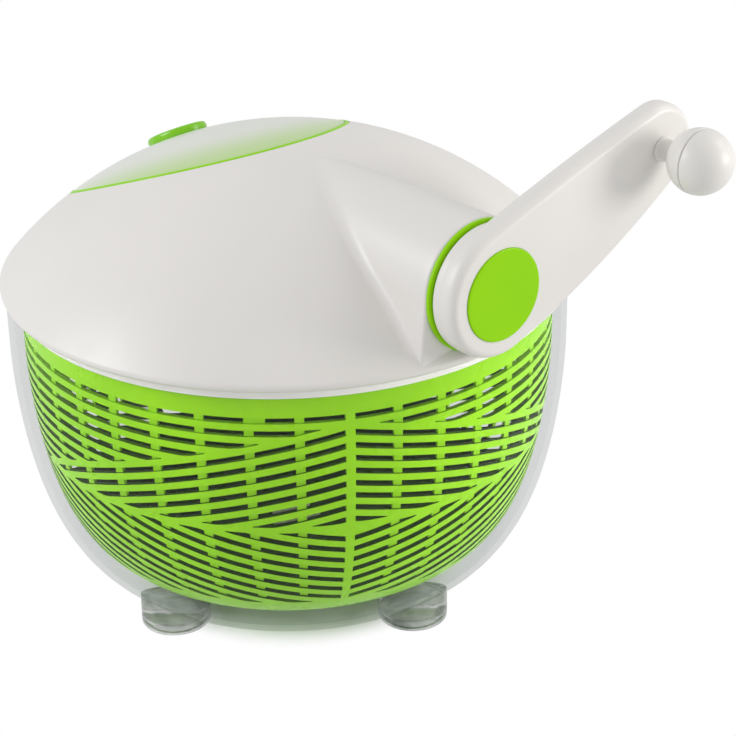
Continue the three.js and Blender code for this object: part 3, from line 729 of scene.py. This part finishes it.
def basket():
    points, faces = slotted_wall()

    def on_wall(height, depth):
        place = basket_place(0.0, height, depth)
        return place.x, place.z

    inner_r, brim_r = BASKET_R - BASKET_WALL, BASKET_R - 0.6
    top = [on_wall(UPPER_Z, 0), (BASKET_R, BASKET_BAND_Z)]
    top += [tuple(p) for p in rounded([
        (BASKET_R, BASKET_BAND_Z, 0), (BASKET_R, 140.3, 0.4), (brim_r, 140.9, 0.4),
        (brim_r, BASKET_TOP, 0.7), (inner_r, BASKET_TOP, 0.7), (inner_r, BASKET_BAND_Z, 0),
    ])][1:]
    top.append(on_wall(UPPER_Z, BASKET_WALL))
    bush_r, bottom_r = 8.3, 30         # of the hole for the bush and of the level bottom
    floor_z = BASKET_LOW + BASKET_WALL
    heights = [LOWER_Z, 26, 22, 18.5, 16, 14, 12.8, 12.2, 11.8, BASKET_LOW + 0.06]
    low = [on_wall(z, 0) for z in heights] + [(bottom_r, BASKET_LOW), (bush_r, BASKET_LOW)]
    low += [(bush_r, floor_z), (bottom_r, floor_z), (44, floor_z)]
    low += [on_wall(z, BASKET_WALL) for z in reversed(heights[:7])]
    for rows in (top, low):
        append_skin(points, faces, *ring_strip(rows))
    outer = BASKET_R - 1
    for k in range(4):
        rings = []
        for z, inset in ((128, 1.2), (128.8, 0), (139.2, 0), (140, 0.8)):
            half, depth = TAB_HALF - inset / 2, BASKET_R - TAB_REACH + inset
            corners = ((depth, -half), (outer, -half), (outer, half), (depth, half))
            rings.append([tab_turn(k) @ Vector((x, y, z)) for x, y in corners])
        append_skin(points, faces, *loft(rings))
    to_object("slotted_basket", points, faces, "green_basket", "basket", ["basket"], 32)


# ---- lid ---------------------------------------------------------------------------------
def dome_height(x, y):
    return DOME_CENTRE + math.sqrt(DOME_R**2 - x**2 - y**2)


def over_dome(x, y, lift):
    """A point over the dome's surface, square to it."""
    up = Vector((x, y, dome_height(x, y) - DOME_CENTRE)).normalized()
    return Vector((x, y, dome_height(x, y))) + up * lift


def cap_profile(radius, reach, floor):
    """Profile of the solid under a sphere about the dome's centre, from its rim to the axis."""
    steps = 44
    widest = math.asin(reach / radius)
    profile = [(0, floor), (reach, floor)]
    for k in range(steps + 1):
        angle = widest * (1 - k / steps)
        profile.append((radius * math.sin(angle), DOME_CENTRE + radius * math.cos(angle)))
    profile[-1] = (0, DOME_CENTRE + radius)
    return profile


def under_dome(name, radius, reach):
    return plain_object(name, *turned(cap_profile(radius, reach, 120.0), 160))


def pillar(name, x, radius, segments, y=0.0):
    """An upright cylinder right through the lid."""
    return cylinder(name, radius, 110.0, 240.0, segments, centre=(x, y, 0))


def housing_side(x, low, inset, steps):
    """One side of the housing's section, from its ridge down to its foot, as (y, z)."""
    share = max((x - HOUSING_NOSE) / (HOUSING_END - HOUSING_NOSE), 0.0005)
    half = HOUSING_R * share**HOUSING_POINT - inset
    side = []
    for k in range(steps + 1):
        angle = math.pi / 2 * (1 - k / steps)
        height = AXIS_Z + (HOUSING_R - inset) * math.sin(angle)
        side.append(Vector((half * math.cos(angle), height)))
    side.append(Vector((half + HOUSING_DRAFT * (AXIS_Z - low), low)))
    return side


def evenly(path, count):
    """A path taken again at equal distances along it."""
    lengths = [0.0]
    for a, b in zip(path, path[1:]):
        lengths.append(lengths[-1] + (b - a).length)
    taken, j = [], 0
    for k in range(count + 1):
        goal = lengths[-1] * k / count
        while j < len(path) - 2 and lengths[j + 1] < goal:
            j += 1
        span = max(lengths[j + 1] - lengths[j], 1e-9)
        taken.append(path[j].lerp(path[j + 1], (goal - lengths[j]) / span))
    return taken


def flowing_side(x, low, inset):
    """The side with a fillet between it and the dome; it ends just under the dome's skin."""
    steps, fillet_steps = 26, 8
    fine = evenly(housing_side(x, low, inset, 40), 400)
    clear = [i for i, p in enumerate(fine) if p.y > dome_height(x, p.x)] or [0]
    joint = fine[clear[-1]]
    climb = (fine[0] - fine[1]).length
    room = math.sqrt(max(HOUSING_REACH**2 - x**2, 0.0)) - joint.x - 0.5
    reach = max(min(HOUSING_FILLET, 0.45 * climb * clear[-1], room), 0.3)
    start = max(clear[-1] - round(reach / climb), 2)
    end = Vector((joint.x + reach, dome_height(x, joint.x + reach) - 0.08))
    upper = evenly(fine[:start + 1], steps)
    for k in range(1, fillet_steps + 1):
        t = k / fillet_steps
        upper.append((1 - t) ** 2 * fine[start] + 2 * t * (1 - t) * joint + t**2 * end)
    return upper + [Vector((end.x + 0.05, low))]


def housing(name, inset, end, low, rounding):
    """The drive housing as a closed solid; the one with a rounded end flows into the dome."""
    start, count, end_steps = HOUSING_NOSE - 1 + inset * 2, 44, 5
    stations = [(start + (end - rounding - start) * (k / count) ** 1.8, inset)
                for k in range(count + 1)]
    for k in range(1, end_steps + 1 if rounding else 0):
        angle = math.pi / 2 * k / end_steps
        stations.append((end - rounding + rounding * math.sin(angle),
                         inset + rounding * (1 - math.cos(angle))))
    rings = []
    for x, deep in stations:
        side = flowing_side(x, low, deep) if rounding else housing_side(x, low, deep, 34)
        ring = [Vector((x, -y, z)) for y, z in reversed(side)]
        rings.append(ring + [Vector((x, y, z)) for y, z in side[1:]])
    return plain_object(name, *loft(rings))


def lid():
    foot_z = math.sqrt(DOME_R**2 - DOME_FOOT_R**2) + DOME_CENTRE
    edge_r = DOME_EDGE_R - 0.1
    rim = [tuple(p) for p in rounded([
        (0, RIM_Z, 0), (128.0, RIM_Z, 0.8), (edge_r, RIM_Z + 1.9, 1.6),
        (edge_r, foot_z - 1.1, 1.2), (DOME_FOOT_R, foot_z, 0),
    ], 6)]
    outline = rim[:-1] + cap_profile(DOME_R, DOME_FOOT_R, 0)[2:]
    shell = plain_object("lid_dome", *turned(outline, 192))
    outer = housing("housing_outer", 0, HOUSING_END, RIM_Z + 2.2, 1.6)
    combine(shell, outer, "UNION")
    room_r, bush_r = 124.9, 9.3
    for room in (
        under_dome("dome_room", DOME_R - LID_WALL, room_r),
        housing("housing_room", LID_WALL, HOUSING_END - END_WALL, RIM_Z + 3.4, 0),
        pillar("window_room", WINDOW_X, WINDOW_R + TRIM_WIDTH + 0.2, 128),
        cylinder("bush_room", bush_r, 110, 140, 64, "X", (0, 0, AXIS_Z)),
    ):
        combine(shell, room, "DIFFERENCE")
    dress(shell, "white_plastic", "lid", ["lid_shell"], 28)


def window_trim():
    """A ring that is round in plan and follows the dome, with bevelled upper edges."""
    segments, bevel = 192, 0.3
    inner, outer, rise, low = WINDOW_R + 0.15, WINDOW_R + TRIM_WIDTH, 0.12, -2.2
    section = [(inner, low), (inner, rise - bevel), (inner + bevel, rise),
               (outer - bevel, rise), (outer, rise - bevel), (outer, low)]
    points = []
    for k in range(segments):
        angle = TAU * k / segments
        for r, lift in section:
            points.append(over_dome(WINDOW_X + r * math.cos(angle), r * math.sin(angle), lift))
    count = len(section)
    faces = []
    for k in range(segments):
        n = (k + 1) % segments
        for i in range(count):
            j = (i + 1) % count
            faces.append([k * count + i, k * count + j, n * count + j, n * count + i])
    to_object("green_trim_ring", points, faces, "green_trim", "lid", ["window_trim"])


def curved_plate(name, centre_x, radius, rise, thick, edge):
    """A round plate that follows the dome, with rounded upper edges."""
    segments, steps = 128, 26
    radii = [radius * (k / steps) for k in range(steps)]
    radii += [radius - edge, radius - edge * 0.3, radius]
    radii = sorted(set(round(r, 4) for r in radii))[1:]

    def ring(r, depth):
        angles = [TAU * k / segments for k in range(segments)]
        return [over_dome(centre_x + r * math.cos(angle), r * math.sin(angle), rise - depth)
                for angle in angles]

    def drop(r):
        over = max(r - (radius - edge), 0.0) / edge
        return edge * (1 - math.sqrt(max(1 - over**2, 0.0)))

    rings = [ring(r, drop(r)) for r in radii] + [ring(r, thick) for r in reversed(radii)]
    return plain_object(name, *loft(rings))


def window():
    plate = curved_plate("window_plate", WINDOW_X, WINDOW_R, -0.15, 2.3, 0.5)
    combine(plate, pillar("button_room", BUTTON_X, BUTTON_R + 0.6, 96), "DIFFERENCE")
    dress(plate, "frosted_window", "lid", ["window"], 30)
    window_trim()


def lid_skirt():
    low, high = box_mm("lid_skirt")
    outer, inner = high.x, high.x - 2.0
    turned_piece("inner_skirt", [
        (inner, high.z, 0), (inner, low.z, 0.8), (outer, low.z, 0.9), (outer, high.z, 0),
    ], "white_plastic", "lid", ["lid_skirt"], 160, closed=True)


def crank_ring():
    low, high = box_mm("crank_ring")
    bore_r = 9.6
    ring = turned_solid("green_crank_ring", [
        (bore_r, low.x, 0), (high.y, low.x, 0.2), (high.y, high.x, 0.5), (bore_r, high.x, 0),
    ], 128, "X", (0, 0, AXIS_Z))
    combine(ring, under_dome("ring_room", DOME_R + 0.25, 131.5), "DIFFERENCE")
    dress(ring, "green_trim", "lid", ["crank_ring"])


def inner_cover():
    """The plate that closes the lid from below, drilled for its screws and the brake's stem."""
    low, high = box_mm("inner_cover")
    spindle_r, screw_r, stem_r = 6.3, 1.9, 4.0
    plate = turned_solid("cover_plate", [
        (spindle_r, low.z, 0), (high.x, low.z, 0.4), (high.x, high.z, 0.4),
        (spindle_r, high.z, 0),
    ], 160)
    for name in frame["nodes"]:
        if name.startswith(("cover_screw", "bracket_screw")):
            ends = box_mm(name)
            middle = (ends[0] + ends[1]) / 2
            drill = pillar("drill", middle.x, screw_r, 32, middle.y)
            combine(plate, drill, "DIFFERENCE")
    combine(plate, pillar("stem_drill", BUTTON_X, stem_r, 48), "DIFFERENCE")
    dress(plate, "inner_white_plastic", "lid", ["inner_cover"])


# ---- drive disc --------------------------------------------------------------------------
def drive_disc():
    """The disc that carries the basket round: a hub, two grooves, six holes, four notches."""
    low, high = box_mm("drive_disc")
    radius, bore, hub = high.x, 3.2, 10.0
    under, over, groove = 134.0, 137.0, 1
    hole_at, hole_r, notch, notch_half = 48, 12.0, 5, 4.3
    profile = [(bore, low.z, 0), (hub, low.z, 0.5), (hub, under, 0.4)]
    for near, far in ((62, 65), (100, 103)):
        profile += [(near, under, 0.3), (near, under - groove, 0.3),
                    (far, under - groove, 0.3), (far, under, 0.3)]
    profile += [(radius, under, 0.5), (radius, over, 0.5), (hub, over, 0.4),
                (hub, high.z, 0.5), (bore, high.z, 0)]
    disc = turned_solid("disc", profile, 160)
    for k in range(6):
        angle = math.radians(60 * k + 30)
        x, y = hole_at * math.cos(angle), hole_at * math.sin(angle)
        combine(disc, pillar("hole", x, hole_r, 64, y), "DIFFERENCE")
    near, far = radius - notch, radius + notch
    corners = ((near, -notch_half), (far, -notch_half), (far, notch_half), (near, notch_half))
    for k in range(4):
        rings = [[tab_turn(k) @ Vector((x, y, z)) for x, y in corners]
                 for z in (low.z - 2, high.z + 2)]
        combine(disc, plain_object("notch", *loft(rings)), "DIFFERENCE")
    dress(disc, "inner_white_plastic", "spindle", ["drive_disc"])


# ---- brake -------------------------------------------------------------------------------
def brake_button():
    cap = curved_plate("green_button", BUTTON_X, BUTTON_R - 0.1, BUTTON_RISE,
                       BUTTON_RISE + 5.5, 1.6)
    dress(cap, "green_button", "brake", ["brake_button"], 40)


# ---- crank -------------------------------------------------------------------------------
def arm_outline(x, inset):
    """Two end circles joined by slightly bowed sides, in the plane at x."""
    hub_steps, tip_steps, side_steps = 48, 28, 10
    tilt = math.asin((HUB_R - TIP_R) / ARM_LENGTH)
    side = math.pi / 2 - tilt
    outline = []
    for k in range(hub_steps + 1):
        angle = side + (TAU - 2 * side) * k / hub_steps
        outline.append(((HUB_R - inset) * math.cos(angle), (HUB_R - inset) * math.sin(angle)))

    def bow(t, sign):
        start = Vector((HUB_R * math.cos(side), HUB_R * math.sin(side)))
        end = Vector((ARM_LENGTH + TIP_R * math.cos(side), TIP_R * math.sin(side)))
        across = Vector((math.cos(side), math.sin(side)))
        here = start.lerp(end, t) + across * (4 * ARM_BOWS[sign] * t * (1 - t) - inset)
        return (here.x, sign * here.y)

    outline += [bow(k / side_steps, -1) for k in range(1, side_steps)]
    for k in range(tip_steps + 1):
        angle = -side + 2 * side * k / tip_steps
        outline.append((ARM_LENGTH + (TIP_R - inset) * math.cos(angle),
                        (TIP_R - inset) * math.sin(angle)))
    outline += [bow(k / side_steps, 1) for k in range(side_steps - 1, 0, -1)]
    c, s = math.cos(ARM_ANGLE), math.sin(ARM_ANGLE)
    return [Vector((x, u * c - v * s, AXIS_Z + u * s + v * c)) for u, v in outline]


def crank_arm():
    back, front = ARM_BACK, ARM_FRONT
    axis, tip = (0, 0, AXIS_Z), (0, KNOB_CENTRE.y, KNOB_CENTRE.z)
    edges = [(back, 1.6), (back + 0.25, 0.9), (back + 0.9, 0.25), (back + 1.7, 0.0),
             (front - ARM_FILLET, 0.0)]
    edge_steps = 8
    for k in range(1, edge_steps + 1):
        angle = math.pi / 2 * k / edge_steps
        edges.append((front - ARM_FILLET + ARM_FILLET * math.sin(angle),
                      3.6 * (1 - math.cos(angle))))
    arm = plain_object("crank_arm_body", *loft([arm_outline(x, inset) for x, inset in edges]))
    hub = plain_object("hub", *turned([tuple(p) for p in rounded([
        (0, HUB_BACK, 0), (NECK_R - 1.0, HUB_BACK, 0.5), (NECK_R, HUB_BACK + 1.2, 0.6),
        (NECK_R, back + 2.5, 0), (0, back + 2.5, 0),
    ])], 128, "X", axis))
    combine(arm, hub, "UNION")
    seat, shaft_end = box_mm("crank_cap")[0].x - 0.2, box_mm("crank_shaft")[1].x
    screw_room_r, stud_room_r = 5.2, STUD_HEAD_R + 0.4
    behind, ahead = HUB_BACK - 5, front + 5
    for radius, low, high, centre in (
        (CAP_R + 0.12, seat, ahead, axis),
        (screw_room_r, shaft_end, ahead, axis),
        (SHAFT_R + 0.2, behind, ahead, axis),
        (BORE_R, behind, ahead, tip),
        (stud_room_r, behind, back + 2.4, tip),
    ):
        combine(arm, cylinder("room", radius, low, high, 96, "X", centre), "DIFFERENCE")
    dress(arm, "white_plastic", "crank", ["crank_arm"], 30)


def crank_cap():
    low, high = box_mm("crank_cap")
    turned_piece("green_hub_cap", [
        (0, low.x, 0), (CAP_R, low.x, 0.2), (CAP_R, high.x - 0.1, 0.5), (CAP_R - 1.2, high.x, 0.6),
        (0, high.x, 0),
    ], "green_trim", "crank", ["crank_cap"], 128, "X", (0, 0, AXIS_Z))


def knob_stud():
    """The neck between the arm and the ball, with its shank and its head behind the arm."""
    low, high = box_mm("knob_pin")
    shank, collar, neck = BORE_R - 0.3, 5.5, 4.9
    head_end, base = low.x + 1.8, ARM_FRONT + 0.05
    top = KNOB_CENTRE.x - KNOB_R + 0.35
    turned_piece("knob_stud", [
        (0, low.x, 0), (STUD_HEAD_R, low.x, 0.4), (STUD_HEAD_R, head_end, 0.2),
        (shank, head_end, 0), (shank, base, 0), (collar, base, 0.2), (collar, base + 0.8, 0.4),
        (neck, base + 1.6, 0.5), (neck, top, 0.2), (shank, top, 0), (shank, high.x, 0.4),
        (0, high.x, 0),
    ], "white_plastic", "crank", ["knob_pin"], 64, "X", (0, KNOB_CENTRE.y, KNOB_CENTRE.z))


def knob():
    """The ball in two halves with a fine parting groove round its middle."""
    steps, gap, groove, bore_depth = 32, 0.15, 0.35, 8
    quarter = math.pi / 2
    front = []
    for k in range(steps + 1):
        angle = quarter * k / steps
        r = KNOB_R - (groove if k == steps else 0)
        front.append((r * math.sin(angle), max(r * math.cos(angle), gap)))
    front += [(BORE_R, gap), (BORE_R, bore_depth), (0, bore_depth)]
    back = [(BORE_R, -gap)]
    last = math.pi - math.asin((BORE_R + 1.5) / KNOB_R)
    for k in range(steps + 1):
        angle = quarter + (last - quarter) * k / steps
        r = KNOB_R - (groove if k == 0 else 0)
        back.append((r * math.sin(angle), min(r * math.cos(angle), -gap)))
    back.append((BORE_R, back[-1][1]))
    for half, profile, closed in (("front", front, False), ("rear", back, True)):
        points, faces = turned(profile, 96, "X", KNOB_CENTRE, closed)
        to_object(f"knob_{half}_half", points, faces, "white_plastic", "knob",
                  [f"knob_{half}"], 40)


# ---- carried-over CAD nodes --------------------------------------------------------------
def dress_cad_nodes():
    """Every CAD node that still shows gets its slot's material and softened edges."""
    slots = {row["node"]: row["material_slot"] for row in frame["record"]["subparts"]}
    for name, node in frame["nodes"].items():
        if node.hide_render:
            continue
        node.data.materials.clear()
        node.data.materials.append(SLOTS[slots[name]])
        smooth(node.data, 32)
        soften = node.modifiers.new("softened", "BEVEL")
        soften.width = 0.25 * MM
        soften.segments = 2
        soften.limit_method = "ANGLE"
        soften.angle_limit = math.radians(40)


# ---- stage -------------------------------------------------------------------------------
def camera():
    """The main view; its axes are unit vectors in the part's frame."""
    data = bpy.data.cameras.new("camera")
    data.sensor_width = 36.0
    data.lens = 100.6
    data.clip_start, data.clip_end = 0.01, 50.0
    right = Vector((0.6517, 0.7584, -0.0138))
    up = Vector((-0.3229, 0.2939, 0.8997))
    forward = Vector((-0.6864, 0.5818, -0.4364))
    place = Vector((685.4, -533.6, 515.9)) * MM
    obj = linked("camera", data)
    turn = Matrix((right, up, -forward)).transposed().to_4x4()
    obj.matrix_world = Matrix.Translation(place) @ turn
    bpy.context.scene.camera = obj


def area_light(name, place, size, power, colour=(1, 1, 1)):
    """A round lamp aimed at the middle of the part; places are in metres."""
    data = bpy.data.lights.new(name, "AREA")
    data.shape = "DISK"
    data.size = size
    data.energy = power
    data.color = colour
    obj = linked(name, data)
    obj.location = place
    aim = Vector((0, 0, 0.10)) - Vector(place)
    obj.rotation_mode = "QUATERNION"
    obj.rotation_quaternion = aim.to_track_quat("-Z", "Y")


def floor_material():
    """A sweep that the camera sees as pure white, except where the bowl stands on it."""
    shade_r, white_r = 0.060, 0.084    # metres from the middle
    material, nodes, links, shader = node_material("floor", {
        "Base Color": (0.86, 0.86, 0.86, 1), "Roughness": 0.9, "Specular IOR Level": 0.1,
    })
    glow = add_node(nodes, "Emission")
    path = add_node(nodes, "LightPath")
    strength = add_node(nodes, "MapRange", {"To Min": 0.74, "To Max": 1.0})
    links.new(path.outputs["Is Camera Ray"], strength.inputs["Value"])
    links.new(strength.outputs["Result"], glow.inputs["Strength"])
    coordinates = add_node(nodes, "TexCoord")
    length = add_node(nodes, "VectorMath", operation="LENGTH")
    links.new(coordinates.outputs["Object"], length.inputs[0])
    away = smooth_ramp(nodes, links, length.outputs["Value"], shade_r, white_r)
    return mixed_surface(material, away, shader.outputs["BSDF"], glow.outputs["Emission"])


def studio():
    scene = bpy.context.scene
    scene.view_settings.view_transform = "Standard"
    world = bpy.data.worlds.new("studio")
    world.use_nodes = True
    set_inputs(world.node_tree.nodes["Background"], {"Color": (1, 1, 1, 1), "Strength": 0.65})
    scene.world = world
    mesh = bpy.data.meshes.new("floor")
    reach = 6.0                        # metres
    corners = [(-reach, -reach, 0), (reach, -reach, 0), (reach, reach, 0), (-reach, reach, 0)]
    mesh.from_pydata(corners, [], [(0, 1, 2, 3)])
    mesh.materials.append(floor_material())
    floor = linked("floor", mesh)
    floor.location.z = FLOOR_Z * MM
    area_light("key", (0.89, 0.78, 0.35), 0.45, 5.0, (1.0, 0.98, 0.95))
    area_light("back", (0.6, 0.95, 1.0), 0.6, 3.0)
    area_light("fill", (-0.6, -1.15, 0.85), 0.8, 8.5, (0.97, 0.98, 1.0))


camera()
bowl()
for number in (1, 2, 3, 4):
    foot(number)
basket()
lid()
window()
lid_skirt()
crank_ring()
inner_cover()
drive_disc()
brake_button()
crank_arm()
crank_cap()
knob_stud()
knob()
dress_cad_nodes()
studio()
